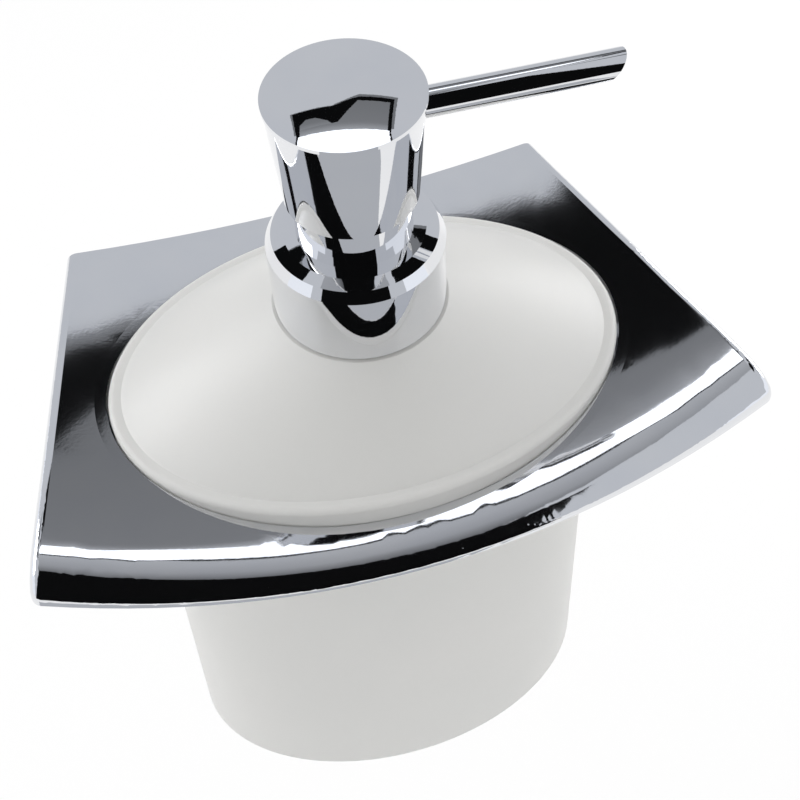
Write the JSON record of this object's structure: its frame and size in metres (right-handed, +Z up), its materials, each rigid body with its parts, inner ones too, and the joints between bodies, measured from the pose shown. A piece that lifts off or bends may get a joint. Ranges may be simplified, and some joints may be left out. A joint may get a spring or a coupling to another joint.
{
  "type": "wall mounted soap dispenser",
  "caption": "Wall mounted soap dispenser: fan-shaped chrome holder plate, oval frosted glass container lifted out from above, and a chrome press pump with a swivelling spout.",
  "frame": {"origin": "on the wall plane, at the centre of the wall bracket between its two screw holes", "axes": "+Y into the wall, so the front faces -Y; +Z up along the pump axis; +X to the right seen from the front"},
  "size_m": [0.1588, 0.1006, 0.2079],
  "materials": {
    "chrome": "polished",
    "frosted_glass": "satin frosted",
    "bracket_metal": "zinc plated",
    "screw_steel": "plain",
    "steel": "bright",
    "white_plastic": "moulded",
    "natural_plastic": "moulded",
    "gasket_rubber": "matt"
  },
  "bodies": {
    "holder": {"holder_frame": "chrome", "wall_bracket": "bracket_metal", "set_screw": "screw_steel"},
    "container": {"glass_container": "frosted_glass"},
    "pump_unit": {"pump_housing": "natural_plastic", "chaplet": "white_plastic", "neck_gasket": "gasket_rubber", "ball_retainer": "natural_plastic", "dip_tube": "natural_plastic", "return_spring": "steel"},
    "closure": {"collar_shell": "chrome", "closure_cap": "white_plastic"},
    "plunger": {"piston": "white_plastic", "stem_tip": "white_plastic"},
    "head": {"pump_stem": "white_plastic", "head_core": "white_plastic", "head_shell": "chrome", "dome_cap": "chrome", "spout_tube": "chrome"},
    "inlet_valve": {"inlet_ball": "steel"},
    "outlet_valve": {"outlet_ball": "steel"}
  },
  "joints": [
    {"name": "container_lift", "type": "slide", "parent": "holder", "child": "container", "axis": [0, 0, 1], "range_m": [0, 0.14]},
    {"name": "pump_rise", "type": "slide", "parent": "container", "child": "pump_unit", "axis": [0, 0, 1], "range_m": [0, 0.006]},
    {"name": "collar_turn", "type": "hinge", "parent": "pump_unit", "child": "closure", "pos_m": [0, -0.0499, 0.05], "axis": [0, 0, 1], "range_deg": [0, 540]},
    {"name": "press", "type": "slide", "parent": "pump_unit", "child": "plunger", "axis": [0, 0, -1], "range_m": [0, 0.009], "stiffness_N_per_m": 600, "springref_m": -0.012, "deforming": ["return_spring"]},
    {"name": "spout_turn", "type": "hinge", "parent": "plunger", "child": "head", "pos_m": [0, -0.0499, 0.08], "axis": [0, 0, 1], "range_deg": [-237, 63]},
    {"name": "inlet_lift", "type": "slide", "parent": "pump_unit", "child": "inlet_valve", "axis": [0, 0, 1], "range_m": [0, 0.0015]},
    {"name": "outlet_lift", "type": "slide", "parent": "head", "child": "outlet_valve", "axis": [0, 0, 1], "range_m": [0, 0.0012]}
  ],
  "couplings": [
    {"joint": "pump_rise", "follows": "collar_turn", "m_per_rad": 0.0006366}
  ]
}
